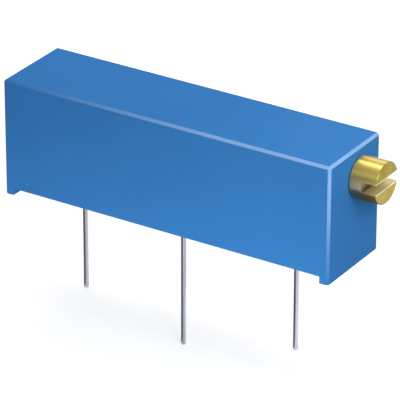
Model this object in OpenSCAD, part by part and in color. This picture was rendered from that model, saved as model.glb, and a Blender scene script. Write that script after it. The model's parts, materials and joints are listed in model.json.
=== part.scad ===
// Multi-turn trimmer potentiometer, rectangular, adjusted from one end.
// A slotted lead screw turns in the housing and draws a carriage along it. The carriage carries
// a sprung wiper over a resistive element and a collector, which are fired on a ceramic substrate.
// Origin: the axis of terminal 1 in the plane of the board. +X runs along the housing towards
// the screw head, +Y to the back, +Z up.

/* [Housing] */
// Length of the housing between its end faces
body_l = 19.05; // [18.6:0.05:24]
// Width of the housing, front to back
body_w = 4.83; // [4.75:0.01:6.5]
// Height of the top face above the board
body_h = 6.35; // [6.2:0.01:8]
// Height of the two feet that lift the housing off the board
foot_h = 0.38; // [0.25:0.01:0.4]
// Length of each foot along the housing
foot_l = 0.5; // [0.3:0.01:0.8]
// Radius of the moulded edges on the top and at the corners
edge_r = 0.18; // [0.05:0.01:0.3]
// Thickness of the long side walls around the seal
side_wall = 0.55; // [0.45:0.01:0.6]
// Thickness of the end walls around the seal
end_rim = 0.85; // [0.6:0.01:1]
// Width of the ledges that the substrate lies against
ledge_w = 0.2; // [0.1:0.01:0.22]
// Thickness of the roof over the carriage
roof_t = 0.5; // [0.4:0.01:0.6]

/* [Terminals] */
// Diameter of the terminal wires
pin_d = 0.26; // [0.2:0.01:0.34]
// Length of the wires below the board plane
pin_drop = 6.35; // [3:0.05:12]
// Distance from the left end face to terminal 1
pin_1_inset = 2.41; // [2.3:0.01:2.6]
// Distance along the housing from terminal 1 to terminal 2
pitch_12 = 7.62; // [7:0.01:8.2]
// Distance from terminal 3 to the right end face
pin_3_inset = 3.94; // [3.7:0.01:4.1]
// Distance of each row of terminals from the side face next to it: 1 and 3 at the back, 2 in front
row_inset = 1.145; // [1.12:0.005:1.2]
// Diameter of the swaged collar under the substrate
collar_d = 0.6; // [0.56:0.01:0.66]
// Diameter of the foot of each solder fillet
solder_d = 0.66; // [0.58:0.01:0.7]
// Height of each solder fillet above its pad
solder_h = 0.24; // [0.15:0.01:0.3]
// Height of the wires' tails above the solder
tail_rise = 0.04; // [0.02:0.01:0.06]

/* [Adjustment screw] */
// Distance of the screw axis behind the housing's centre line
screw_offset = 0.42; // [0.3:0.01:0.45]
// Distance of the screw axis below the top face
screw_drop = 1.57; // [1.5:0.01:1.7]
// Diameter of the slotted head
head_d = 2.18; // [2.1:0.01:2.3]
// Distance that the head stands out of the end face
head_out = 1.52; // [1:0.01:2]
// Width of the screwdriver slot
slot_w = 0.56; // [0.4:0.01:0.7]
// Depth of the screwdriver slot
slot_depth = 0.76; // [0.5:0.01:0.9]
// Bevel at the rim of the head
head_bevel = 0.04; // [0.02:0.01:0.1]
// Diameter of the journal behind the head
journal_d = 1.84; // [1.76:0.01:1.88]
// Length of the journal from the end face to its inner shoulder
journal_l = 2.7; // [2.5:0.01:3]
// Floor diameter of the two grooves in the journal
groove_d = 1.1; // [1:0.01:1.2]
// Distance from the end face to the groove of the seal ring
ring_inset = 0.7; // [0.5:0.01:0.75]
// Width of the groove of the seal ring
ring_groove_w = 0.62; // [0.55:0.01:0.65]
// Distance from the end face to the groove of the retaining clip
clip_inset = 1.95; // [1.85:0.01:2.05]
// Width of the groove of the retaining clip
clip_groove_w = 0.4; // [0.36:0.01:0.45]
// Outer diameter of the thread
thread_d = 1.5; // [1.3:0.01:1.6]
// Pitch of the thread, a single right-hand start
thread_pitch = 0.635; // [0.5:0.005:0.7]
// Depth of the thread
thread_depth = 0.22; // [0.12:0.01:0.25]
// Width of the flat on the crest of the thread
crest_w = 0.19; // [0.12:0.01:0.22]
// Diameter of the pivot at the far end of the screw
tip_d = 0.9; // [0.7:0.01:1]
// Length of the pivot at the far end of the screw
tip_l = 0.85; // [0.6:0.01:0.95]
// Turns of the screw from one end of the travel to the other
turns = 15; // [10:1:15]
// Length of the plain neck between the thread and the journal
neck_l = 0.6; // [0.4:0.01:0.8]

/* [Seal ring and clip] */
// Width of the squeezed seal ring along the screw
ring_w = 0.5; // [0.42:0.01:0.54]
// Thickness of the retaining clip
clip_t = 0.3; // [0.2:0.01:0.34]
// Width of the retaining clip across the screw
clip_w = 2.75; // [2.4:0.01:2.8]
// Height of the clip's fork above the screw axis
clip_rise = 0.72; // [0.4:0.01:0.85]

/* [Element] */
// Distance from the bottom of the feet to the underside of the seal
seal_z = 0.45; // [0.4:0.01:0.6]
// Height of the underside of the substrate above the board
substrate_z = 1.28; // [1.15:0.01:1.35]
// Thickness of the ceramic substrate
substrate_t = 0.64; // [0.5:0.01:0.7]
// Length of the substrate beyond terminals 1 and 3
substrate_over = 1.2; // [0.9:0.01:1.3]
// Thickness of the fired films
film_t = 0.03; // [0.02:0.005:0.05]
// Width of the resistive element
element_w = 0.45; // [0.42:0.01:0.5]
// Distance of the resistive element in front of the back row of terminals
element_offset = 0.7; // [0.65:0.01:0.75]
// Width of the collector track
collector_w = 0.4; // [0.38:0.01:0.45]
// Distance of the collector track behind the front row of terminals
collector_offset = 0.8; // [0.75:0.01:0.85]
// Length of an end pad on the element's side of its terminal
pad_in = 0.75; // [0.5:0.01:0.9]
// Length of an end pad on the outer side of its terminal
pad_out = 0.55; // [0.4:0.01:0.6]
// Width of each pad beyond the centre of its terminal
pad_back = 0.34; // [0.33:0.01:0.36]

/* [Carriage and wiper] */
// Length of the carriage along the screw
carriage_l = 2.6; // [2.5:0.05:3]
// Height of the underside of the carriage above the substrate
carriage_lift = 0.83; // [0.78:0.01:0.9]
// Length of the wiper's base plate
base_l = 2; // [1.8:0.05:2]
// Thickness of the wiper spring
spring_t = 0.06; // [0.04:0.01:0.08]
// Radius of the wiper spring's bend, at the middle of its thickness
bend_r = 0.2; // [0.16:0.01:0.21]
// Angle of the wiper arms below the horizontal
arm_slope = 25; // [20:1:28]
// Length of the straight part of the wiper arms
arm_l = 0.38; // [0.3:0.01:0.4]
// Thickness and width of each contact wire
wire_t = 0.05; // [0.04:0.005:0.06]
// Distance between the contact wires of one brush
wire_pitch = 0.1; // [0.08:0.005:0.11]
// Number of contact wires in each brush
wires = 4; // [3:1:4]
// Radius of the upturned ends of the wires, at the middle of their thickness
tip_bend_r = 0.2; // [0.15:0.01:0.22]
// Diameter of the carriage's two rivets
rivet_d = 0.4; // [0.3:0.01:0.5]
// Height of the rivets below the wiper's base plate
rivet_drop = 0.1; // [0.05:0.01:0.15]

/* [Clearances] */
// Radial running clearance of the screw's journal and pivot
run_gap = 0.04; // [0.03:0.005:0.05]
// Clearance of the carriage to the walls and roof that guide it
slide_gap = 0.05; // [0.04:0.005:0.08]
// Clearance between the screw's thread and the carriage's
thread_gap = 0.05; // [0.045:0.005:0.06]
// Clearance left between the carriage and its stops at each end of the travel
stop_gap = 0.1; // [0.05:0.01:0.15]
// Clearance between the contact wires and the films
contact_gap = 0.02; // [0.02:0.005:0.03]
// Clearance of the parts that are dropped into the housing
fit_gap = 0.03; // [0.02:0.005:0.04]

/* [Hidden] */
$fn = 64;
eps = 0.05;         // run of a cut past the surface that it opens
hollow = 1.2;       // radius of the hollow of a solder fillet, as a share of its larger side
thread_sides = 18;  // facets of the thread round the screw
bend_steps = 8;     // flats in each bend of the wiper

// Housing
left_x = -pin_1_inset;
right_x = left_x + body_l;
row_gap = body_w - 2 * row_inset;
mid_y = -row_gap / 2;
front_y = mid_y - body_w / 2;
back_y = mid_y + body_w / 2;
roof_z = body_h - roof_t;
pocket_y = front_y + side_wall;
pocket_w = body_w - 2 * side_wall;
cavity_y = pocket_y + ledge_w;
cavity_w = pocket_w - 2 * ledge_w;

// Terminals: [x, y] of each wire
pin_1_at = [0, 0];
pin_2_at = [pitch_12, -row_gap];
pin_3_at = [right_x - pin_3_inset, 0];
tail_gap = 0.05;    // between a wire and its hole in the substrate

// Element
film_z = substrate_z + substrate_t;
film_top = film_z + film_t;
tail_top = film_top + solder_h + tail_rise;
element_y = -element_offset;
collector_y = -row_gap + collector_offset;
substrate_x = -substrate_over;
substrate_l = pin_3_at[0] + 2 * substrate_over;

// Screw
screw_y = mid_y + screw_offset;
screw_z = body_h - screw_drop;
head_r = head_d / 2;
journal_r = journal_d / 2;
groove_r = groove_d / 2;
crest_r = thread_d / 2;
root_r = crest_r - thread_depth;
flank_w = thread_depth * tan(30);
tip_r = tip_d / 2;
bore_r = journal_r + run_gap;
ring_x = right_x - ring_inset - ring_groove_w;
clip_x = right_x - clip_inset - clip_groove_w;
journal_x = right_x - journal_l;
neck_x = journal_x - neck_l;
neck_over = 0.05;   // radius of the neck beyond the thread's crests, which run out in it
neck_r = crest_r + neck_over;

// Wiper, in the plane of its arms: x from the carriage's middle, z above the board
carriage_z = film_z + carriage_lift;
spring_z = carriage_z - spring_t / 2;
bend_end = -90 + arm_slope;
wire_end = -150;    // where the upturned ends of the wires stop, as an angle of their bend
arm_from = [base_l / 2 + bend_r * cos(bend_end), spring_z - bend_r + bend_r * sin(bend_end)];
arm_way = [-cos(arm_slope), -sin(arm_slope)];
arm_under = [sin(arm_slope), -cos(arm_slope)];
wire_from = arm_from + eps * arm_way + (spring_t + wire_t) / 2 * arm_under;
wire_low_z = film_top + contact_gap + wire_t / 2;
wire_run = (wire_from[1] - wire_low_z - tip_bend_r * (1 - cos(arm_slope))) / sin(arm_slope);
tip_from = wire_from + wire_run * arm_way;
contact_x = tip_from[0] - tip_bend_r * sin(arm_slope);

// Carriage: at rest its contacts are midway between terminals 1 and 3
travel = turns * thread_pitch;
carriage_x = pin_3_at[0] / 2 - contact_x;
carriage_w = cavity_w - 2 * slide_gap;
carriage_top = roof_z - slide_gap;
stop_overlap = 0.15; // of the stops below the underside of the carriage
stop_reach = (travel + carriage_l) / 2 + stop_gap;
stop_x = carriage_x - stop_reach;
far_stop_x = carriage_x + stop_reach;
stop_z = carriage_z - stop_overlap;
thread_x = stop_x + run_gap;

// ---- shared shapes ----

// Rectangle with its foot on the X axis and both upper corners rounded
module arch(w, h, r) {
    translate([-w / 2, 0]) square([w, h - r]);
    translate([-w / 2 + r, 0]) square([w - 2 * r, h]);
    for (s = [-1, 1]) translate([s * (w / 2 - r), h - r]) circle(r);
}

// Rectangle, centred, with four rounded corners
module round_rectangle(l, w, r) {
    square([l - 2 * r, w], center = true);
    square([l, w - 2 * r], center = true);
    for (s = [-1, 1], t = [-1, 1]) translate([s * (l / 2 - r), t * (w / 2 - r)]) circle(r);
}

// Cylinder along +X on the screw's axis, from x to x + l
module on_axis(r, x, l) {
    translate([x, screw_y, screw_z]) rotate([0, 90, 0]) cylinder(r = r, h = l);
}

// Box from its low corner to its high corner
module span(low, high) {
    translate(low) cube(high - low);
}

// Threaded rod on the screw's axis from x0 to x1. A crest lies at the angle a, from +Y towards
// +Z, where x is pitch * a / 360 or any whole number of pitches from it.
module threaded_rod(r_root, r_crest, w_crest, x0, x1) {
    n = thread_sides;
    first = floor(x0 / thread_pitch) - 1;
    rounds = ceil(x1 / thread_pitch) + 1 - first;
    rows_s = [0, flank_w, flank_w + w_crest, 2 * flank_w + w_crest];
    rows_r = [r_root, r_crest, r_crest, r_root];
    centre_s = flank_w + w_crest / 2;
    last = 4 * rounds;
    points = [
        for (j = [0:last + 4], i = [0:n - 1])
            let(a = 360 * i / n, r = rows_r[j % 4])
            [thread_pitch * (first + floor(j / 4) + i / n) + rows_s[j % 4] - centre_s,
             r * cos(a), r * sin(a)],
        [thread_pitch * (first + 0.5), 0, 0],
        [thread_pitch * (first + rounds + 0.5), 0, 0],
    ];
    low = len(points) - 2;
    high = len(points) - 1;
    // the next point round the rod, which is one pitch further on after a full round
    function beside(j, i) = i < n - 1 ? n * j + i + 1 : n * (j + 4);
    walls = [
        for (j = [0:last - 1], i = [0:n - 1])
            let(a = n * j + i, b = n * (j + 1) + i, c = beside(j + 1, i), d = beside(j, i))
            each [[a, b, c], [a, c, d]],
    ];
    low_cap = [
        for (i = [0:n - 1]) [low, i, beside(0, i)],
        for (j = [0:3]) [low, n * (j + 1), n * j],
    ];
    high_cap = [
        for (i = [0:n - 1]) [high, beside(last, i), n * last + i],
        for (j = [last:last + 3]) [high, n * j, n * (j + 1)],
    ];
    intersection() {
        translate([0, screw_y, screw_z])
            polyhedron(points, concat(walls, low_cap, high_cap), convexity = 10);
        on_axis(r_crest + eps, x0, x1 - x0);
    }
}

function arc(centre, r, from, to) = [
    for (i = [0:bend_steps])
        let(a = from + (to - from) * i / bend_steps)
        centre + r * [cos(a), sin(a)],
];

// A path moved sideways by d, to the left of its run
function beside_path(path, d) = [
    for (i = [0:len(path) - 1])
        let(v = path[min(i + 1, len(path) - 1)] - path[max(i - 1, 0)])
        path[i] + d * [-v[1], v[0]] / norm(v),
];

function backwards(path) = [for (i = [len(path) - 1:-1:0]) path[i]];

// Strip of thickness t and width w along a path in the XZ plane, centred on y
module strip(path, t, w, y) {
    translate([carriage_x, y + w / 2, 0]) rotate([90, 0, 0]) linear_extrude(w)
        polygon(concat(beside_path(path, t / 2), backwards(beside_path(path, -t / 2))));
}

// ---- housing ----

module outer_block() {
    mid_x = left_x + body_l / 2;
    translate([mid_x, mid_y, 0]) intersection() {
        linear_extrude(body_h) round_rectangle(body_l, body_w, edge_r);
        translate([0, body_w / 2, 0]) rotate([90, 0, 0])
            linear_extrude(body_w) arch(body_l, body_h, edge_r);
        translate([-body_l / 2, 0, 0]) rotate([90, 0, 90])
            linear_extrude(body_l) arch(body_w, body_h, edge_r);
    }
}

module clip_slot() {
    half = clip_w / 2 + fit_gap;
    x = clip_x + (clip_groove_w - clip_t) / 2;
    span([x - fit_gap, screw_y - half, substrate_z - eps],
         [x + clip_t + fit_gap, screw_y + half, screw_z + clip_rise + fit_gap]);
}

module housing() {
    pocket_end_y = pocket_y + pocket_w;
    cavity_end_y = cavity_y + cavity_w;
    low_x = substrate_x + ledge_w;
    low_end_x = substrate_x + substrate_l - ledge_w;
    color("#3A7FC4") difference() {
        outer_block();
        // gap over the board between the feet
        span([left_x + foot_l, front_y - eps, -eps], [right_x - foot_l, back_y + eps, foot_h]);
        // pocket for the seal, then the closer pocket for the substrate
        span([left_x + end_rim, pocket_y, foot_h - eps],
             [right_x - end_rim, pocket_end_y, substrate_z]);
        span([substrate_x - fit_gap, pocket_y, substrate_z - eps],
             [substrate_x + substrate_l + fit_gap, pocket_end_y, film_z]);
        // room over the soldered terminals, then the carriage's way between its stops
        span([low_x, cavity_y, film_z - eps], [low_end_x, cavity_end_y, stop_z]);
        span([stop_x, cavity_y, stop_z - eps], [far_stop_x, cavity_end_y, roof_z]);
        // bores for the screw's journal and pivot
        on_axis(bore_r, far_stop_x - eps, right_x - far_stop_x + 2 * eps);
        on_axis(tip_r + run_gap, thread_x - tip_l - run_gap, tip_l + 2 * run_gap + eps);
        clip_slot();
    }
}

module base_seal() {
    color("#2C5F95") difference() {
        span([left_x + end_rim, pocket_y, seal_z],
             [right_x - end_rim, pocket_y + pocket_w, substrate_z]);
        for (at = [pin_1_at, pin_2_at, pin_3_at])
            translate([at[0], at[1], seal_z - eps]) cylinder(d = collar_d, h = substrate_z);
    }
}

// ---- adjustment screw, its seal ring and its clip ----

// Half section of the screw behind and in front of the thread: [distance from the axis, x]
module turned(profile) {
    translate([0, screw_y, screw_z]) rotate([0, 90, 0]) rotate_extrude() polygon(profile);
}

module adjustment_screw() {
    head_x = right_x + run_gap;
    head_end = right_x + head_out;
    color("#C9A93F") {
        difference() {
            turned([
                [0, neck_x], [neck_r, neck_x], [neck_r, journal_x],
                [journal_r, journal_x], [journal_r, clip_x], [groove_r, clip_x],
                [groove_r, clip_x + clip_groove_w], [journal_r, clip_x + clip_groove_w],
                [journal_r, ring_x], [groove_r, ring_x], [groove_r, ring_x + ring_groove_w],
                [journal_r, ring_x + ring_groove_w], [journal_r, head_x], [head_r, head_x],
                [head_r, head_end - head_bevel], [head_r - head_bevel, head_end], [0, head_end],
            ]);
            span([head_end - slot_depth, screw_y - head_d, screw_z - slot_w / 2],
                 [head_end + eps, screw_y + head_d, screw_z + slot_w / 2]);
        }
        threaded_rod(root_r, crest_r, crest_w, thread_x, neck_x + eps);
        on_axis(tip_r, thread_x - tip_l, tip_l + eps);
    }
}

// The ring is squeezed between the groove's floor and the bore, so its sides are flat there
module seal_ring() {
    ring_t = bore_r - run_gap / 4 - groove_r;
    half_flat = (ring_w - ring_t) / 2;
    color("#8A3B2A") translate([ring_x + ring_groove_w / 2, screw_y, screw_z]) rotate([0, 90, 0])
        rotate_extrude() translate([groove_r + ring_t / 2, 0]) {
            square([ring_t, 2 * half_flat], center = true);
            for (s = [-1, 1]) translate([0, s * half_flat]) circle(ring_t / 2);
        }
}

module retaining_clip() {
    x = clip_x + (clip_groove_w - clip_t) / 2;
    fork_r = groove_r + run_gap;
    color("#B9B4A4") difference() {
        span([x, screw_y - clip_w / 2, substrate_z],
             [x + clip_t, screw_y + clip_w / 2, screw_z + clip_rise]);
        on_axis(fork_r, x - eps, clip_t + 2 * eps);
        span([x - eps, screw_y - fork_r, screw_z],
             [x + clip_t + eps, screw_y + fork_r, screw_z + clip_rise + eps]);
    }
}

// ---- carriage and wiper ----

rivet_spots = [for (s = [-1, 1]) [carriage_x + s * base_l / 4, (element_y + collector_y) / 2]];

module carriage() {
    channel_r = crest_r + 2 * thread_gap;
    cut_x0 = carriage_x - carriage_l / 2 - eps;
    cut_x1 = carriage_x + carriage_l / 2 + eps;
    color("#E9E4D2") {
        difference() {
            span([cut_x0 + eps, cavity_y + slide_gap, carriage_z],
                 [cut_x1 - eps, cavity_y + slide_gap + carriage_w, carriage_top]);
            span([cut_x0, screw_y - channel_r, screw_z], [cut_x1, screw_y + channel_r, roof_z]);
            threaded_rod(root_r + thread_gap, crest_r + thread_gap,
                         crest_w + 2 * thread_gap, cut_x0, cut_x1);
        }
        for (at = rivet_spots)
            translate([at[0], at[1], carriage_z - spring_t - rivet_drop])
                cylinder(d = rivet_d, h = spring_t + rivet_drop + eps);
    }
}

module wiper_spring() {
    base_y0 = collector_y - collector_w / 2;
    base_y1 = element_y + element_w / 2;
    bend_centre = [base_l / 2, spring_z - bend_r];
    arm = concat(
        [[base_l / 2 - eps, spring_z]],
        arc(bend_centre, bend_r, 90, bend_end),
        [arm_from + arm_l * arm_way]
    );
    color("#D8C27A") {
        difference() {
            span([carriage_x - base_l / 2, base_y0, carriage_z - spring_t],
                 [carriage_x + base_l / 2, base_y1, carriage_z]);
            for (at = rivet_spots)
                translate([at[0], at[1], carriage_z - spring_t - eps])
                    cylinder(d = rivet_d, h = spring_t + 2 * eps);
        }
        for (y = [element_y, collector_y]) strip(arm, spring_t, wires * wire_pitch, y);
    }
}

// Contact wires, side by side, welded under the arm at y
module brush(y) {
    tip_centre = [contact_x, wire_low_z + tip_bend_r];
    wire = concat([wire_from], arc(tip_centre, tip_bend_r, bend_end, wire_end));
    for (k = [0:wires - 1])
        strip(wire, wire_t, wire_t, y + (k - (wires - 1) / 2) * wire_pitch);
}

module element_brush() { color("#E8E0C8") brush(element_y); }
module collector_brush() { color("#E8E0C8") brush(collector_y); }

// ---- element ----

module tail_hole(at) {
    translate([at[0], at[1], substrate_z - eps])
        cylinder(d = pin_d + 2 * tail_gap, h = substrate_t + film_t + 2 * eps);
}

module substrate() {
    color("#F2F0EA") difference() {
        span([substrate_x, pocket_y + fit_gap, substrate_z],
             [substrate_x + substrate_l, pocket_y + pocket_w - fit_gap, film_z]);
        for (at = [pin_1_at, pin_2_at, pin_3_at]) tail_hole(at);
    }
}

module resistive_element() {
    color("#33363A")
        span([pad_in, element_y - element_w / 2, film_z],
             [pin_3_at[0] - pad_in, element_y + element_w / 2, film_top]);
}

// End pad of a terminal, reaching by x0 and x1 along the housing from its wire
module end_pad(at, x0, x1) {
    color("#C8CACC") difference() {
        span([at[0] + x0, element_y - element_w / 2, film_z],
             [at[0] + x1, at[1] + pad_back, film_top]);
        tail_hole(at);
    }
}

module end_pad_1() { end_pad(pin_1_at, -pad_out, pad_in); }
module end_pad_3() { end_pad(pin_3_at, -pad_in, pad_out); }

module collector_track() {
    low_y = collector_y - collector_w / 2;
    color("#C8CACC") difference() {
        union() {
            span([pin_1_at[0], low_y, film_z],
                 [pin_3_at[0], low_y + collector_w, film_top]);
            span([pin_2_at[0] - pad_out, pin_2_at[1] - pad_back, film_z],
                 [pin_2_at[0] + pad_out, low_y + eps, film_top]);
        }
        tail_hole(pin_2_at);
    }
}

// ---- terminals ----

// Wire below the seal, collar in the seal, and tail through the substrate
module terminal(at) {
    color("#B4BAC2") translate([at[0], at[1], 0]) {
        translate([0, 0, -pin_drop]) cylinder(d = pin_d, h = pin_drop + seal_z);
        translate([0, 0, seal_z]) cylinder(d = collar_d, h = substrate_z - seal_z);
        translate([0, 0, substrate_z - eps]) cylinder(d = pin_d, h = tail_top - substrate_z + eps);
    }
}

// Hollow fillet of solder round a tail, on its pad
module solder(at) {
    reach = (solder_d - pin_d) / 2;
    hollow_r = max(reach, solder_h) * hollow;
    color("#A9AFB5") translate([at[0], at[1], film_top]) rotate_extrude() difference() {
        translate([pin_d / 2, 0]) square([reach, solder_h]);
        translate([pin_d / 2 + hollow_r + eps, hollow_r + eps]) circle(hollow_r);
    }
}

module pin_1() { terminal(pin_1_at); }
module pin_2() { terminal(pin_2_at); }
module pin_3() { terminal(pin_3_at); }
module solder_1() { solder(pin_1_at); }
module solder_2() { solder(pin_2_at); }
module solder_3() { solder(pin_3_at); }

housing();
base_seal();
adjustment_screw();
seal_ring();
retaining_clip();
carriage();
wiper_spring();
element_brush();
collector_brush();
substrate();
resistive_element();
collector_track();
end_pad_1();
end_pad_3();
pin_1();
pin_2();
pin_3();
solder_1();
solder_2();
solder_3();
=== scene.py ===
"""Looks of the multi-turn trimmer potentiometer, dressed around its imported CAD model."""
import json
import math

import bmesh
import bpy
from mathutils import Matrix, Vector, noise


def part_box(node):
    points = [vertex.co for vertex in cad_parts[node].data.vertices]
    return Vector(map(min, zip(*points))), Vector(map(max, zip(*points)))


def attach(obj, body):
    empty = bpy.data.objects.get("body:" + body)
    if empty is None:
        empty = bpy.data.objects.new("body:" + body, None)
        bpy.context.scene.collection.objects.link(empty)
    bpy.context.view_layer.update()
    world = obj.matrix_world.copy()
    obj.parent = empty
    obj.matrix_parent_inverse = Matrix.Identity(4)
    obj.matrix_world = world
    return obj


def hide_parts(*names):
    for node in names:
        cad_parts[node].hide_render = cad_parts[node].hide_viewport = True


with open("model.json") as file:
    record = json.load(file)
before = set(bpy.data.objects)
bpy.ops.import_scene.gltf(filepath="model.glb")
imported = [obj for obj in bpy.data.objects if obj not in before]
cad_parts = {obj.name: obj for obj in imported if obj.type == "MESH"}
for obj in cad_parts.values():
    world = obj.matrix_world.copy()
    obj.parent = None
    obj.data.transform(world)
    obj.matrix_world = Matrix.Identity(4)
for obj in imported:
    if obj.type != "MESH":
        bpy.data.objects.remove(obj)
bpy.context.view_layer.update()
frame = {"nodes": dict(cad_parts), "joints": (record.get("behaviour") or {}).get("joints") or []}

MM = 0.001
NEAR = 0.001            # points this close, in millimetres, lie in one plane

# Sizes in millimetres that the frame's boxes don't give. The first four are the scene's own, and
# the others repeat the dimensions of part.scad.
EDGE = 0.12             # flat chamfers on the housing's upper and upright edges
EDGE_ROUND = 0.018      # roundings where those chamfers meet the faces
BREAK = 0.03            # broken edges of the housing's underside and of the screw
COLLAR_BED = 0.05       # resin under the terminals' collars
FOOT_L = 0.5            # length of each foot
FOOT_H = 0.38           # height of each foot
RUN_GAP = 0.04          # radial play of the screw in its bores
SLIDE_GAP = 0.05        # play of the carriage in its way
FIT_GAP = 0.03          # play of the parts dropped into the housing
STOP_GAP = 0.1          # play at each end of the travel
STOP_OVERLAP = 0.15     # how far the stops reach below the carriage's underside
LEDGE = 0.2             # ledges that the substrate lies against
SLOT_W = 0.56           # screwdriver slot
SLOT_DEPTH = 0.76
PITCH = 0.635           # thread
CREST_R = 0.75
ROOT_R = 0.53
CREST_FLAT = 0.19
FLANK = (CREST_R - ROOT_R) * math.tan(math.radians(30))
NECK_L = 0.6            # plain neck between the thread and the journal
JOURNAL_L = 2.7         # journal, with the grooves of the seal ring and the clip
JOURNAL_R = 0.92
GROOVE_R = 0.55
RING_GROOVE = 0.7, 0.62     # distance of the ring's groove from the end face, and its width
CLIP_GROOVE = 1.95, 0.4     # the same of the clip's groove
TIP_R = 0.45            # pivot at the far end of the screw
TIP_L = 0.85
WIRE_R = 0.13           # terminal wires
COLLAR_R = 0.3


def mm_box(node):
    """Lowest and highest corner of a CAD node, in millimetres."""
    low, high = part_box(node)
    return low / MM, high / MM


HOUSING = mm_box("housing")
SCREW = mm_box("adjustment_screw")
SEAL = mm_box("base_seal")
SUBSTRATE = mm_box("substrate")
CARRIAGE = mm_box("carriage")
CLIP = mm_box("retaining_clip")
PINS = [mm_box(f"pin_{number}") for number in (1, 2, 3)]
PIN_AXES = [((low.x + high.x) / 2, (low.y + high.y) / 2) for low, high in PINS]
LEFT, RIGHT = HOUSING[0].x, HOUSING[1].x
FRONT, BACK = HOUSING[0].y, HOUSING[1].y
TOP = HOUSING[1].z
SCREW_Y = (SCREW[0].y + SCREW[1].y) / 2
SCREW_Z = (SCREW[0].z + SCREW[1].z) / 2
HEAD_R = (SCREW[1].z - SCREW[0].z) / 2
HEAD_END = SCREW[1].x
SLOT_FLOOR = HEAD_END - SLOT_DEPTH
THREAD_START = SCREW[0].x + TIP_L
TRAVEL = next(j["range_m"][1] for j in frame["joints"] if j["type"] == "slide") / MM
SCREW_SIDES = 96        # facets round the screw and its bores


# ---- mesh tools: every mesh is built in millimetres and scaled once, when it becomes a piece ----

def block(low, high):
    """Box between two corners."""
    bm = bmesh.new()
    bmesh.ops.create_cube(bm, size=1)
    low, high = Vector(low), Vector(high)
    for v in bm.verts:
        v.co = (low + high) / 2 + Vector(a * b for a, b in zip(v.co, high - low))
    return bm


def tube(rows, close=True):
    """Surface through rows of points, each row a ring with as many points as the others."""
    bm = bmesh.new()
    rings = [[bm.verts.new(p) for p in row] for row in rows]
    for a, b in zip(rings, rings[1:]):
        for i in range(len(a)):
            k = (i + 1) % len(a)
            bm.faces.new((a[i], a[k], b[k], b[i]))
    if close:
        bm.faces.new(reversed(rings[0]))
        bm.faces.new(rings[-1])
    return bm


def circle_row(radius, along, sides, place):
    """Points of a circle; place turns (u, v, along) into a point of the frame."""
    steps = (2 * math.pi * i / sides for i in range(sides))
    return [place(radius * math.cos(a), radius * math.sin(a), along) for a in steps]


def lathe(profile, sides, place):
    """Turned solid from a profile of (radius, distance along the axis)."""
    return tube([circle_row(r, t, sides, place) for r, t in profile])


def upright(x, y):
    """Place for circle_row whose axis stands at x and y."""
    return lambda u, v, t: Vector((x + u, y + v, t))


def on_screw_axis(u, v, t):
    return Vector((t, SCREW_Y + u, SCREW_Z + v))


def rod(radius, x0, x1):
    """Cylinder on the screw's axis."""
    return lathe([(radius, x0), (radius, x1)], SCREW_SIDES, on_screw_axis)


def add_object(name, data):
    obj = bpy.data.objects.new(name, data)
    bpy.context.scene.collection.objects.link(obj)
    return obj


def as_object(bm, name):
    """Object in the scene with the mesh bm, which is used up."""
    bmesh.ops.recalc_face_normals(bm, faces=bm.faces)
    mesh = bpy.data.meshes.new(name)
    bm.to_mesh(mesh)
    bm.free()
    return add_object(name, mesh)


def cut(bm, cutters):
    """The solid bm without the solids in cutters."""
    base = as_object(bm, "cut_base")
    tools = [as_object(cutter, "cut_tool") for cutter in cutters]
    for tool in tools:
        step = base.modifiers.new("cut", "BOOLEAN")
        step.operation = "DIFFERENCE"
        step.solver = "EXACT"
        step.object = tool
    bpy.context.view_layer.update()
    done = bmesh.new()
    done.from_mesh(base.evaluated_get(bpy.context.evaluated_depsgraph_get()).to_mesh())
    for obj in [base, *tools]:
        mesh = obj.data
        bpy.data.objects.remove(obj)
        bpy.data.meshes.remove(mesh)
    return done


def bevel(bm, edges, offset, segments):
    bmesh.ops.bevel(bm, geom=edges, offset=offset, segments=segments, profile=0.5,
                    affect="EDGES", clamp_overlap=True)


def sharp_edges(bm, angle, where=lambda point: True):
    """Edges whose faces meet at more than the angle and whose two ends pass the test where."""
    limit = math.radians(angle)
    return [e for e in bm.edges
            if e.is_manifold and e.calc_face_angle(0) > limit and all(where(v.co) for v in e.verts)]


def piece(name, bm, body, slot, node, smooth_below=38):
    """Piece with the mesh bm, which rides on the body and stands for the CAD node."""
    obj = as_object(bm, name)
    obj.data.transform(Matrix.Scale(MM, 4))
    obj.data.polygons.foreach_set("use_smooth", [True] * len(obj.data.polygons))
    obj.data.set_sharp_from_angle(angle=math.radians(smooth_below))
    obj.data.materials.append(MATERIALS[slot])
    weighted = obj.modifiers.new("weighted_normals", "WEIGHTED_NORMAL")
    weighted.keep_sharp = True
    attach(obj, body)
    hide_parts(node)


# ---- node tools ----

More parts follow.
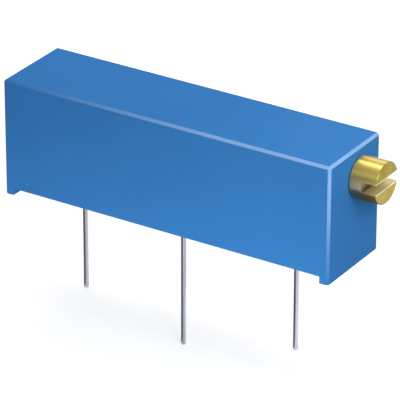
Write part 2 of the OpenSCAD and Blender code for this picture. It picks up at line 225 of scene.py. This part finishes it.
class Nodes:
    """Short calls for the nodes of one tree."""

    def __init__(self, tree):
        self.tree = tree

    def node(self, kind, **settings):
        made = self.tree.nodes.new(kind)
        for key, value in settings.items():
            setattr(made, key, value)
        return made

    def feed(self, socket, value):
        """Link an output to the socket, or set the socket to a number or a colour."""
        if isinstance(value, bpy.types.NodeSocket):
            self.tree.links.new(value, socket)
        elif isinstance(value, tuple):
            socket.default_value = (*value, 1)
        else:
            socket.default_value = value

    def axes(self, vector):
        """X, Y and Z of a vector."""
        parts = self.node("ShaderNodeSeparateXYZ")
        self.feed(parts.inputs[0], vector)
        return tuple(parts.outputs)

    def calc(self, operation, *values):
        made = self.node("ShaderNodeMath", operation=operation)
        for socket, value in zip(made.inputs, values):
            self.feed(socket, value)
        return made.outputs[0]

    def ranged(self, value, low, high, from_low=0.3, from_high=0.7, **settings):
        """Low where the value is from_low or less, high where it is from_high or more."""
        made = self.node("ShaderNodeMapRange", **settings)
        for key, given in (("Value", value), ("From Min", from_low), ("From Max", from_high),
                           ("To Min", low), ("To Max", high)):
            self.feed(made.inputs[key], given)
        return made.outputs["Result"]

    def below(self, value, low, high):
        """1 where the value is under low, fading to 0 at high."""
        return self.ranged(value, 1, 0, low, high)

    def above(self, value, low, high):
        """0 where the value is under low, rising to 1 at high."""
        return self.ranged(value, 0, 1, low, high)

    def seen_directly(self):
        """1 on rays that look at a thing or mirror it, 0 on those that gather its light."""
        rays = self.node("ShaderNodeLightPath").outputs
        looks_or_mirrors = self.calc("MAXIMUM", rays["Is Camera Ray"], rays["Is Glossy Ray"])
        return self.calc("MAXIMUM", looks_or_mirrors, rays["Is Transmission Ray"])


class Shader(Nodes):
    """A node material whose pattern coordinates are millimetres of the part's own frame."""

    def __init__(self, name, **sockets):
        self.material = bpy.data.materials.new(name)
        self.material.use_nodes = True
        super().__init__(self.material.node_tree)
        self.set(**sockets)
        scale = self.node("ShaderNodeVectorMath", operation="SCALE")
        scale.inputs["Scale"].default_value = 1 / MM
        self.feed(scale.inputs[0], self.node("ShaderNodeTexCoord").outputs["Object"])
        self.place = scale.outputs[0]

    def set(self, **sockets):
        """Feed sockets of the Principled BSDF, named with _ for each blank."""
        bsdf = self.tree.nodes["Principled BSDF"]
        for key, value in sockets.items():
            self.feed(bsdf.inputs[key.replace("_", " ")], value)

    def changed(self, operation, vector):
        """The coordinates after a vector operation with a constant."""
        made = self.node("ShaderNodeVectorMath", operation=operation)
        self.feed(made.inputs[0], self.place)
        made.inputs[1].default_value = vector
        return made.outputs[0]

    def noise(self, per_mm, detail=3, place=None, distortion=0):
        made = self.node("ShaderNodeTexNoise")
        for key, value in (("Scale", per_mm), ("Detail", detail), ("Distortion", distortion),
                           ("Vector", place or self.place)):
            self.feed(made.inputs[key], value)
        return made.outputs["Fac"]

    def mixed(self, share, a, b):
        """Colour a where the share is 0, b where it is 1."""
        made = self.node("ShaderNodeMix", data_type="RGBA")
        for key, value in (("Factor", share), ("A", a), ("B", b)):
            self.feed(made.inputs[key], value)
        return made.outputs["Result"]

    def bump(self, *layers):
        """Layers of (height, depth in mm), the coarse one first."""
        normal = None
        for height, depth in layers:
            made = self.node("ShaderNodeBump")
            made.inputs["Strength"].default_value = 1
            made.inputs["Distance"].default_value = depth * MM
            self.feed(made.inputs["Height"], height)
            if normal:
                self.feed(made.inputs["Normal"], normal)
            normal = made.outputs["Normal"]
        self.set(Normal=normal)


# ---- materials ----

def chamfer_mask(s, x, y, z):
    """1 on the housing's chamfers, where a point is near to two faces of the block at once.

    A point's depths under two such faces add up to EDGE there, and to more on the flat faces.
    """
    inside = []
    for value, middle, half in ((x, (LEFT + RIGHT) / 2, (RIGHT - LEFT) / 2),
                                (y, (FRONT + BACK) / 2, (BACK - FRONT) / 2),
                                (z, 0, TOP)):
        away = s.calc("ABSOLUTE", s.calc("SUBTRACT", value, middle))
        inside.append(s.calc("SUBTRACT", half, away))
    a, b, c = inside
    total = s.calc("ADD", s.calc("ADD", a, b), c)
    largest = s.calc("MAXIMUM", s.calc("MAXIMUM", a, b), c)
    nearest_two = s.calc("SUBTRACT", total, largest)
    return s.below(s.calc("MINIMUM", nearest_two, largest), EDGE + 0.005, EDGE + 0.02)


def blue_plastic():
    """Blue moulding with a painted highlight on its chamfers, paler towards the screw and fading
    towards the bottom.
    """
    s = Shader("blue_plastic", Specular_IOR_Level=0.02, IOR=1.2)
    x, y, z = s.axes(s.place)
    cloud = s.mixed(s.ranged(s.noise(0.35, 2), 0, 1), (0.037, 0.190, 0.498), (0.041, 0.202, 0.522))
    fleck = s.calc("MULTIPLY", s.ranged(s.noise(9, 4), 0, 1), 0.3)
    face = s.mixed(fleck, cloud, (0.05, 0.213, 0.555))
    # painted highlight: the chamfers are painted paler, more towards the screw and less towards the
    # bottom
    highlight_along_x = s.ranged(x, 0.05, 1, LEFT + 0.5, LEFT + 13)
    highlight_fade = s.calc("MULTIPLY", highlight_along_x, s.above(z, 0, 5))
    chamfer_highlight = s.calc("MULTIPLY", s.calc("MULTIPLY", chamfer_mask(s, x, y, z), highlight_fade),
                  s.ranged(s.noise(1.2, 4), 0.8, 1))
    # the pale blue here is the colour of the painted highlight on the chamfers
    s.set(Base_Color=s.mixed(chamfer_highlight, face, (0.27, 0.45, 0.76)),
          Roughness=s.ranged(s.noise(3, 3), 0.28, 0.34))
    s.bump((s.noise(0.8, 2), 0.002), (s.noise(18, 4), 0.0006))
    return s.material


def potting_resin():
    """Dark blue resin, glossy and a little uneven as it set."""
    s = Shader("potting_resin", Specular_IOR_Level=0.5, Coat_Weight=0.4, Coat_Roughness=0.08)
    s.set(Base_Color=s.mixed(s.ranged(s.noise(1.5, 4), 0, 1), (0.016, 0.07, 0.2), (0.03, 0.11, 0.27)),
          Roughness=s.ranged(s.noise(5, 3), 0.16, 0.3))
    s.bump((s.noise(2.2, 3, distortion=0.6), 0.02), (s.noise(14, 2), 0.002))
    return s.material


def screw_brass():
    """Turned brass: tool marks run round the axis, on the sides and on the end face.

    The side, the end face and the sawn slot have colours of their own. Light and shade are painted
    in:
    the side's upper half is yellower than its lower half, the end face's upper half is darker than
    its lower half, the slot's floor is darker, and the slot's lips are paler as a highlight.
    """
    s = Shader("screw_brass", Metallic=1, Anisotropic=0.85, Anisotropic_Rotation=0.25)
    s.set(Tangent=s.node("ShaderNodeTangent", direction_type="RADIAL", axis="X").outputs[0])
    x, y, z = s.axes(s.changed("SUBTRACT", (0, SCREW_Y, SCREW_Z)))
    radius = s.calc("POWER", s.calc("ADD", s.calc("POWER", y, 2), s.calc("POWER", z, 2)), 0.5)
    marks = s.node("ShaderNodeCombineXYZ")
    s.feed(marks.inputs["X"], x)
    s.feed(marks.inputs["Y"], radius)
    rings = s.noise(45, 3, marks.outputs[0])

    off_axis = s.calc("ABSOLUTE", z)
    in_slot = s.calc("MULTIPLY", s.below(off_axis, SLOT_W / 2, SLOT_W / 2 + 0.01),
                     s.above(x, SLOT_FLOOR - 0.05, SLOT_FLOOR - 0.02))
    # painted shade: the floor at the bottom of the slot is painted darker
    slot_floor_shade = s.below(x, SLOT_FLOOR + 0.01, SLOT_FLOOR + 0.04)
    on_end = s.above(x, HEAD_END - 0.04, HEAD_END - 0.02)
    # painted highlight: the slot's lips are painted pale
    lip_highlight = s.calc("MULTIPLY", s.below(off_axis, SLOT_W / 2 + 0.03, SLOT_W / 2 + 0.04),
                    s.above(x, HEAD_END - 0.045, HEAD_END - 0.035))

    tarnish = s.ranged(s.noise(1.6, 4), 0, 1)
    # painted light and shade: the side's upper half is yellower, its lower half greyer
    side = s.mixed(s.above(z, 0, 0.5),
                   s.mixed(tarnish, (0.57, 0.47, 0.27), (0.51, 0.42, 0.23)),
                   s.mixed(tarnish, (0.63, 0.475, 0.135), (0.57, 0.425, 0.115)))
    # painted shade: the end face's upper half is darker than its lower half
    end = s.mixed(s.above(z, -0.1, 0.1),
                  s.mixed(tarnish, (0.47, 0.355, 0.085), (0.42, 0.315, 0.075)),
                  s.mixed(tarnish, (0.38, 0.295, 0.042), (0.34, 0.265, 0.037)))
    # the sawn slot's own colour, darker on its floor as painted shade
    slot_colour_and_shade = s.mixed(slot_floor_shade, (0.72, 0.6, 0.31), (0.3, 0.26, 0.2))
    skin = s.mixed(in_slot, s.mixed(on_end, side, end), slot_colour_and_shade)
    # the pale colour at the slot's lips is a painted highlight
    s.set(Base_Color=s.mixed(lip_highlight, skin, (0.95, 0.86, 0.62)),
          Roughness=s.calc("ADD", s.ranged(rings, 0.36, 0.42), s.calc("MULTIPLY", in_slot, 0.2)))
    saw_marks = s.noise(30, 3, s.changed("MULTIPLY", (1, 0.05, 1)))
    s.bump((rings, 0.0002), (s.calc("MULTIPLY", saw_marks, in_slot), 0.0006))
    return s.material


def tinned_wire():
    """Tinned wire with faint drawing lines along it."""
    s = Shader("tinned_wire", Metallic=1)
    drawn = s.noise(7, 3, s.changed("MULTIPLY", (1, 1, 0.03)))
    s.set(Base_Color=s.mixed(s.above(drawn, 0.38, 0.62), (0.4, 0.42, 0.46), (0.62, 0.65, 0.7)),
          Roughness=s.ranged(s.noise(6, 3), 0.28, 0.34))
    s.bump((drawn, 0.0012), (s.noise(22, 3), 0.0002))
    return s.material


def moulded(name, dark, light, roughness):
    """Small technical moulding: cloudy colour, a faint grain."""
    s = Shader(name, Specular_IOR_Level=0.4)
    s.set(Base_Color=s.mixed(s.ranged(s.noise(2.5, 4), 0, 1), dark, light),
          Roughness=s.ranged(s.noise(6, 2), roughness - 0.05, roughness + 0.05))
    s.bump((s.noise(20, 3), 0.0015))
    return s.material


def metal(name, dark, light, roughness, grain=(1, 1, 1), per_mm=12, depth=0.001):
    """Sheet, wire or film of metal, with its grain stretched along the small factors."""
    s = Shader(name, Metallic=1)
    lines = s.noise(per_mm, 4, s.changed("MULTIPLY", grain))
    s.set(Base_Color=s.mixed(s.ranged(lines, 0, 1), dark, light),
          Roughness=s.ranged(s.noise(per_mm / 2, 2), roughness - 0.07, roughness + 0.07))
    s.bump((lines, depth))
    return s.material


def ceramic(name, dark, light, roughness, per_mm, depth):
    """Fired body or film with an even speckle."""
    s = Shader(name, Specular_IOR_Level=0.5)
    s.set(Base_Color=s.mixed(s.ranged(s.noise(per_mm, 5), 0, 1), dark, light),
          Roughness=s.ranged(s.noise(per_mm, 2), roughness - 0.06, roughness + 0.06))
    s.bump((s.noise(per_mm, 5), depth))
    return s.material


MATERIALS = {
    "blue_plastic": blue_plastic(),
    "potting_resin": potting_resin(),
    "screw_brass": screw_brass(),
    "tinned_wire": tinned_wire(),
    "seal_rubber": moulded("seal_rubber", (0.24, 0.06, 0.04), (0.33, 0.09, 0.06), 0.5),
    "carriage_plastic": moulded("carriage_plastic", (0.74, 0.69, 0.55), (0.82, 0.78, 0.66), 0.45),
    "clip_steel": metal("clip_steel", (0.5, 0.5, 0.48), (0.62, 0.62, 0.6), 0.3, (1, 0.1, 1)),
    "spring_alloy": metal("spring_alloy", (0.62, 0.47, 0.25), (0.76, 0.6, 0.36), 0.28, (0.1, 1, 1)),
    "contact_alloy": metal("contact_alloy", (0.72, 0.68, 0.6), (0.84, 0.8, 0.72), 0.22, (0.1, 1, 1)),
    "conductor_film": metal("conductor_film", (0.55, 0.56, 0.56), (0.7, 0.71, 0.7), 0.45),
    "solder": metal("solder", (0.52, 0.54, 0.56), (0.68, 0.7, 0.72), 0.25, per_mm=6, depth=0.004),
    "alumina": ceramic("alumina", (0.8, 0.79, 0.74), (0.88, 0.87, 0.83), 0.5, 14, 0.002),
    "cermet": ceramic("cermet", (0.03, 0.033, 0.038), (0.06, 0.064, 0.07), 0.4, 18, 0.003),
}


# ---- housing ----

def bevelled_block():
    """The moulded block, with a flat chamfer on its upper and upright edges."""
    bm = block((LEFT, FRONT, 0), (RIGHT, BACK, TOP))
    bevel(bm, [e for e in bm.edges if any(v.co.z > TOP / 2 for v in e.verts)], EDGE, 1)
    bevel(bm, sharp_edges(bm, 20), EDGE_ROUND, 2)
    return bm


def housing_shell():
    """The block with its feet, its pockets, the carriage's way and the screw's bores."""
    over = 0.5      # run of a cut past an outer face
    lap = 0.05      # run of a cut into the one before it
    way_z = CARRIAGE[0].z - STOP_OVERLAP
    roof_z = CARRIAGE[1].z + SLIDE_GAP
    way_y = (CARRIAGE[0].y - SLIDE_GAP, CARRIAGE[1].y + SLIDE_GAP)
    stop_x = CARRIAGE[0].x - TRAVEL - STOP_GAP
    far_stop_x = CARRIAGE[1].x + TRAVEL + STOP_GAP
    bm = cut(bevelled_block(), [
        block((LEFT + FOOT_L, FRONT - over, -over), (RIGHT - FOOT_L, BACK + over, FOOT_H)),
        block((SEAL[0].x, SEAL[0].y, FOOT_H - lap), (SEAL[1].x, SEAL[1].y, SEAL[1].z)),
        block((SUBSTRATE[0].x - FIT_GAP, SEAL[0].y, SUBSTRATE[0].z - lap),
              (SUBSTRATE[1].x + FIT_GAP, SEAL[1].y, SUBSTRATE[1].z)),
        block((SUBSTRATE[0].x + LEDGE, way_y[0], SUBSTRATE[1].z - lap),
              (SUBSTRATE[1].x - LEDGE, way_y[1], way_z)),
        block((stop_x, way_y[0], way_z - lap), (far_stop_x, way_y[1], roof_z)),
        rod(JOURNAL_R + RUN_GAP, far_stop_x - lap, RIGHT + over),
        rod(TIP_R + RUN_GAP, SCREW[0].x - RUN_GAP, THREAD_START + lap),
        block((CLIP[0].x - FIT_GAP, CLIP[0].y - FIT_GAP, CLIP[0].z - lap),
              (CLIP[1].x + FIT_GAP, CLIP[1].y + FIT_GAP, CLIP[1].z + FIT_GAP)),
    ])
    bevel(bm, sharp_edges(bm, 50, lambda p: p.z < FOOT_H + NEAR), BREAK, 2)
    piece("housing_shell", bm, "case", "blue_plastic", "housing")


# ---- potting, terminals and solder ----

RIPPLE = 0.02, 0.5          # unevenness of the resin: its height, and its waves in each millimetre
WALL_CLIMB = 0.05, 0.12     # how far the resin climbs the walls, and over what distance
WIRE_CLIMB = 0.14, 0.1      # the same at the wires


def resin_level(x, y):
    """Height of the resin's free face: it climbs the walls and the wires."""
    wall = min(x - SEAL[0].x, SEAL[1].x - x, y - SEAL[0].y, SEAL[1].y - y)
    wire = max(min(math.hypot(x - px, y - py) for px, py in PIN_AXES) - WIRE_R, 0)
    level = SEAL[0].z + RIPPLE[0] * noise.noise(Vector((x, y, 0)) * RIPPLE[1])
    for distance, (height, reach) in ((wall, WALL_CLIMB), (wire, WIRE_CLIMB)):
        level -= height * math.exp(-distance / reach)
    return level


def potting():
    """The resin that closes the underside, poured round the wires and their collars."""
    step = 0.12
    length, width = SEAL[1].x - SEAL[0].x, SEAL[1].y - SEAL[0].y
    nx, ny = round(length / step), round(width / step)
    bm = bmesh.new()
    low = [[bm.verts.new((SEAL[0].x + length * i / nx, SEAL[0].y + width * j / ny, SEAL[0].z))
            for j in range(ny + 1)] for i in range(nx + 1)]
    for i in range(nx):
        for j in range(ny):
            bm.faces.new((low[i][j], low[i][j + 1], low[i + 1][j + 1], low[i + 1][j]))
    upper = bmesh.ops.extrude_face_region(bm, geom=list(bm.faces))["geom"]
    for v in (g for g in upper if isinstance(g, bmesh.types.BMVert)):
        v.co.z = SEAL[1].z
    over = 0.5      # run of the holes past the resin
    collar_z = SEAL[0].z + COLLAR_BED
    hole = [(WIRE_R, SEAL[0].z - over), (WIRE_R, collar_z), (COLLAR_R, collar_z),
            (COLLAR_R, SEAL[1].z + over)]
    bm = cut(bm, [lathe(hole, 48, upright(x, y)) for x, y in PIN_AXES])
    for v in bm.verts:
        if abs(v.co.z - SEAL[0].z) < NEAR:
            v.co.z = resin_level(v.co.x, v.co.y)
    piece("potting", bm, "case", "potting_resin", "base_seal")


WIRE_END = (0.55, 0), (0.82, 0.012), (0.96, 0.04), (1, 0.08)    # share of the radius, and height
SWELL = 0.0016              # unevenness of the wires' radius


def terminal(index):
    """Tinned wire with its swaged collar in the resin and a sheared, slightly rounded end."""
    low, high = PINS[index]
    profile = [(WIRE_R * share, low.z + height) for share, height in WIRE_END]
    start_z = profile[-1][1]
    collar_z = SEAL[0].z + COLLAR_BED
    collar_top = SEAL[1].z
    collar_round, tail_round = 0.04, 0.02
    steps = 60
    for k in range(1, steps):
        z = start_z + (collar_z - start_z) * k / steps
        uneven = noise.noise(Vector((index * 7.3, 0, z * 1.7)))
        profile.append((WIRE_R + SWELL * (uneven - 1), z))
    profile += [(WIRE_R, collar_z), (COLLAR_R - collar_round, collar_z),
                (COLLAR_R, collar_z + collar_round), (COLLAR_R, collar_top), (WIRE_R, collar_top),
                (WIRE_R, high.z - tail_round), (WIRE_R * 0.8, high.z)]
    bm = lathe(profile, 40, upright(*PIN_AXES[index]))
    piece(f"terminal_{index + 1}", bm, "case", "tinned_wire", f"pin_{index + 1}")


def solder_joint(index):
    """Concave fillet round a wire's tail, a little uneven."""
    low, high = mm_box(f"solder_{index + 1}")
    place = upright(*PIN_AXES[index])
    foot = (high.x - low.x) / 2
    dent = 0.05     # share of the height by which the fillet sinks in places
    steps, sides = 14, 48
    inner = circle_row(WIRE_R, low.z, sides, place)
    rows = [inner]
    for k in range(steps + 1):
        a = math.pi / 2 * k / steps
        r = foot - (foot - WIRE_R) * math.sin(a)
        rise = (high.z - low.z) * (1 - math.cos(a))
        row = []
        for i in range(sides):
            b = 2 * math.pi * i / sides
            share = 1 - dent * math.sin(a) * (1 + math.sin(2 * b + index)) / 2
            row.append(place(r * math.cos(b), r * math.sin(b), low.z + rise * share))
        rows.append(row)
    bm = tube([*rows, inner], close=False)
    bmesh.ops.remove_doubles(bm, verts=bm.verts, dist=1e-5)
    piece(f"solder_joint_{index + 1}", bm, "case", "solder", f"solder_{index + 1}")


# ---- adjustment screw ----

def thread_radius(s):
    """Radius of the thread at the distance s from the middle of a crest, along the axis."""
    s = abs((s + PITCH / 2) % PITCH - PITCH / 2)
    share = min(max((s - CREST_FLAT / 2) / FLANK, 0), 1)
    return CREST_R - (CREST_R - ROOT_R) * share


def thread_rows(x0, x1):
    """Rows that follow the helix and are clamped to the planes x0 and x1."""
    half = CREST_FLAT / 2
    marks = [-half - FLANK, -half - FLANK / 2, -half, 0, half, half + FLANK / 2, half + FLANK,
             PITCH / 2]
    first, last = math.floor(x0 / PITCH) - 2, math.ceil(x1 / PITCH) + 2
    rows = []
    for turn in range(first, last):
        for mark in marks:
            row = []
            for i in range(SCREW_SIDES):
                a = 2 * math.pi * i / SCREW_SIDES
                crest = PITCH * i / SCREW_SIDES
                x = min(max(PITCH * turn + crest + mark, x0), x1)
                r = thread_radius(x - crest)
                row.append(on_screw_axis(r * math.cos(a), r * math.sin(a), x))
            if rows and all((p - q).length < 1e-6 for p, q in zip(row, rows[-1])):
                continue
            rows.append(row)
    return rows


def groove(inset, width):
    """Profile of a groove in the journal, at its distance from the end face."""
    x = RIGHT - inset - width
    return [(JOURNAL_R, x), (GROOVE_R, x), (GROOVE_R, x + width), (JOURNAL_R, x + width)]


def on_slot(point):
    """Whether a point lies on the walls or the floor of the screwdriver slot."""
    return point.x > SLOT_FLOOR - NEAR and abs(point.z - SCREW_Z) < SLOT_W / 2 + NEAR


def lead_screw():
    """Tip, thread, neck, journal with two grooves, and the slotted head."""
    journal_x = RIGHT - JOURNAL_L
    neck_x = journal_x - NECK_L
    neck_r = CREST_R + 0.05
    head_x = RIGHT + RUN_GAP
    bevel_l = 0.08
    tip = [(TIP_R - bevel_l, SCREW[0].x), (TIP_R, SCREW[0].x + bevel_l), (TIP_R, THREAD_START)]
    shank = [
        (neck_r, neck_x), (neck_r, journal_x), (JOURNAL_R - BREAK, journal_x),
        (JOURNAL_R, journal_x + BREAK), *groove(*CLIP_GROOVE), *groove(*RING_GROOVE),
        (JOURNAL_R, head_x), (HEAD_R - BREAK, head_x), (HEAD_R, head_x + BREAK),
        (HEAD_R, SLOT_FLOOR - BREAK), (HEAD_R, SLOT_FLOOR + BREAK),
        (HEAD_R, HEAD_END - 2 * BREAK), (HEAD_R, HEAD_END - BREAK), (HEAD_R - BREAK, HEAD_END),
    ]
    rows = [circle_row(r, t, SCREW_SIDES, on_screw_axis) for r, t in tip]
    rows += thread_rows(THREAD_START, neck_x)
    rows += [circle_row(r, t, SCREW_SIDES, on_screw_axis) for r, t in shank]
    bm = tube(rows)
    bmesh.ops.remove_doubles(bm, verts=bm.verts, dist=1e-5)
    bm = cut(bm, [block((SLOT_FLOOR, SCREW_Y - 2 * HEAD_R, SCREW_Z - SLOT_W / 2),
                        (HEAD_END + 1, SCREW_Y + 2 * HEAD_R, SCREW_Z + SLOT_W / 2))])
    bevel(bm, sharp_edges(bm, 50, on_slot), BREAK, 2)
    piece("lead_screw", bm, "screw", "screw_brass", "adjustment_screw", smooth_below=25)


# ---- pieces that keep their CAD shape ----

CAD_SLOTS = {
    "seal_ring": "seal_rubber", "retaining_clip": "clip_steel", "carriage": "carriage_plastic",
    "wiper_spring": "spring_alloy", "element_brush": "contact_alloy",
    "collector_brush": "contact_alloy", "substrate": "alumina", "resistive_element": "cermet",
    "collector_track": "conductor_film", "end_pad_1": "conductor_film",
    "end_pad_3": "conductor_film",
}


def dress_cad_nodes():
    for name, slot in CAD_SLOTS.items():
        obj = frame["nodes"][name]
        obj.data.materials.clear()
        obj.data.materials.append(MATERIALS[slot])


# ---- floor, sky, lamps, cards and camera ----

SQUARE = (-1, -1), (1, -1), (1, 1), (-1, 1)     # corners of a flat sheet, in halves of its sides
WHITE = 1, 1, 1
FLOOR_Z = PINS[0][0].z      # the wires' ends stand on the floor
FLOOR_GREY = 0.5, 0.5, 0.5
FLOOR_LIFT = 0.66, 0.9      # brightness added where the floor is seen, near and far
FLOOR_REACH = 25, 55        # distances from the origin between which the lift grows
SKY_TURN = 0.06, 0.3        # sines of the elevations between which the sky dims
SKY_OVERHEAD = 0.42         # its brightness above them, where the horizon has 1
SKY_LIGHT = 0.6             # how much of the sky's brightness lights the scene

# The camera was fitted to the photo's view of the housing
CAMERA_AIM = Vector((8.03, -1.66, 1.525))
CAMERA_BACK = Vector((0.47712, -0.75858, 0.44375)).normalized()
CAMERA_DISTANCE = 182.3
CAMERA_ROLL = 0.13          # degrees
CAMERA_LENS = 329.26        # millimetres, on a sensor 36 mm wide


def staged_sheet(name, corners, material):
    """Flat sheet through four corners in millimetres that isn't part of the object."""
    mesh = bpy.data.meshes.new(name)
    mesh.from_pydata([Vector(corner) * MM for corner in corners], [], [(0, 1, 2, 3)])
    mesh.materials.append(material)
    obj = add_object(name, mesh)
    return obj


def floor():
    """Pale floor at the wires' ends. Seen directly or mirrored it is lifted to white."""
    s = Shader("floor", Base_Color=FLOOR_GREY, Roughness=0.9, Specular_IOR_Level=0,
               Emission_Color=WHITE)
    distance = s.node("ShaderNodeVectorMath", operation="LENGTH")
    s.feed(distance.inputs[0], s.place)
    lift = s.ranged(distance.outputs["Value"], *FLOOR_LIFT, *FLOOR_REACH)
    s.set(Emission_Strength=s.calc("MULTIPLY", s.seen_directly(), lift))
    half = 3000
    staged_sheet("floor", [(x * half, y * half, FLOOR_Z) for x, y in SQUARE], s.material)


def sky():
    """White at the horizon, so that it meets the floor, and dimmer overhead."""
    world = bpy.data.worlds.new("studio")
    bpy.context.scene.world = world
    world.use_nodes = True
    n = Nodes(world.node_tree)
    height = n.axes(n.node("ShaderNodeTexCoord").outputs["Generated"])[2]
    level = n.ranged(height, 1, SKY_OVERHEAD, *SKY_TURN, interpolation_type="SMOOTHSTEP")
    share = n.calc("MULTIPLY_ADD", n.seen_directly(), 1 - SKY_LIGHT, SKY_LIGHT)
    background = world.node_tree.nodes["Background"].inputs
    n.feed(background["Color"], WHITE)
    n.feed(background["Strength"], n.calc("MULTIPLY", level, share))


def softbox(name, aim, direction, distance, size, radiance, along=(1, 0, 0), mirrored=True,
            shone=True):
    """Rectangular lamp that shines on the point aim from the direction, its first side along.

    Mirror rays see it if it is mirrored, and it lights matt surfaces if it is shone.
    """
    lamp = bpy.data.lights.new(name, "AREA")
    lamp.shape = "RECTANGLE"
    lamp.size, lamp.size_y = size[0] * MM, size[1] * MM
    lamp.energy = radiance * math.pi * lamp.size * lamp.size_y
    obj = add_object(name, lamp)
    z = Vector(direction).normalized()
    x = Vector(along) - z * z.dot(Vector(along))
    x.normalize()
    obj.rotation_mode = "QUATERNION"
    obj.rotation_quaternion = Matrix((x, z.cross(x), z)).transposed().to_quaternion()
    obj.location = (Vector(aim) + z * distance) * MM
    obj.visible_camera = False
    obj.visible_glossy = mirrored
    obj.visible_diffuse = shone


def lamps():
    """Soft light on the housing, and three lamps whose mirror images shape the brass head."""
    head = Vector((RIGHT + 0.8, SCREW_Y, SCREW_Z))
    slot_lip = Vector((HEAD_END, SCREW_Y, SCREW_Z))
    softbox("key", (16, -2, 3), (0.58, -0.6, 0.54), 60, (16, 16), 15)
    softbox("top_box", (14, -1, 3), (0.2, 0, 1), 60, (40, 40), 1.45)
    softbox("back_fill", (7, BACK, 3), (-0.6, 0.78, 0.12), 60, (60, 40), 2.4, mirrored=False)
    softbox("end_fill", (RIGHT, -1, 5), (0.72, -0.35, 0.6), 20, (8, 8), 7)
    softbox("low_fill", (15, FRONT, 1), (0.2, -0.92, -0.3), 18, (5, 5), 12.8, mirrored=False)
    softbox("table_glow", (4.5, -9.5, FLOOR_Z + 0.15), (0, 0, -1), 0, (27, 9), 1.8, mirrored=False)
    softbox("head_glint", head, (-0.477, 0.25, 0.843), 60, (44, 20), 3.8)
    softbox("head_card", head + Vector((0, 0, 0.9)), (-0.477, 0.72, 0.5), 7, (8, 3.5), 1.7,
            shone=False)
    softbox("lip_glint", slot_lip, (0.4, 0.759, 0.42), 60, (30, 8), 5, along=(-0.477, 0, 0.444))


def dark_card(name, middle, side_a, side_b, grey):
    """Dark card that shows in metal alone: the camera doesn't see it and it stops no light."""
    # the card glows a faint grey, so the painted shade it puts into the reflections isn't black
    s = Shader(name, Base_Color=(0, 0, 0), Specular_IOR_Level=0, Emission_Color=WHITE,
               Emission_Strength=grey)
    middle, side_a, side_b = Vector(middle), Vector(side_a) / 2, Vector(side_b) / 2
    obj = staged_sheet(name, [middle + side_a * a + side_b * b for a, b in SQUARE], s.material)
    obj.visible_camera = obj.visible_diffuse = False
    obj.visible_transmission = obj.visible_shadow = False


def dark_cards():
    """Painted shade in the metal's reflections: a card under the screw's head,
    and one at each wire's left as the camera sees it.
    """
    under_head = (RIGHT + 0.86, SCREW_Y + 0.45, SCREW_Z - 1.53)
    dark_card("under_head", under_head, (1.66, 0, 0), (0, 5.6, 0), 0.08)
    to_camera = Vector((CAMERA_BACK.x, CAMERA_BACK.y, 0)).normalized()
    to_left = Vector((to_camera.y, -to_camera.x, 0))
    beside = to_left * 0.3 + to_camera * 0.08
    width, height = 1.25, 0.8 - FLOOR_Z
    for number, (x, y) in enumerate(PIN_AXES, 1):
        middle = Vector((x, y, FLOOR_Z / 2)) + beside
        dark_card(f"wire_card_{number}", middle, to_camera * width, (0, 0, height), 0.16)


def camera():
    """Camera at the photo's viewing angle."""
    data = bpy.data.cameras.new("camera")
    data.sensor_width = 36
    data.lens = CAMERA_LENS
    data.clip_start, data.clip_end = 0.01, 5
    obj = add_object("camera", data)
    obj.location = (CAMERA_AIM + CAMERA_BACK * CAMERA_DISTANCE) * MM
    obj.rotation_mode = "QUATERNION"
    turn = (-CAMERA_BACK).to_track_quat("-Z", "Y")
    roll = Matrix.Rotation(math.radians(CAMERA_ROLL), 3, "Z").to_quaternion()
    obj.rotation_quaternion = turn @ roll
    bpy.context.scene.camera = obj


# ---- the whole scene ----

housing_shell()
potting()
for index in range(3):
    terminal(index)
    solder_joint(index)
lead_screw()
dress_cad_nodes()
floor()
sky()
lamps()
dark_cards()
camera()
bpy.context.scene.view_settings.view_transform = "Standard"
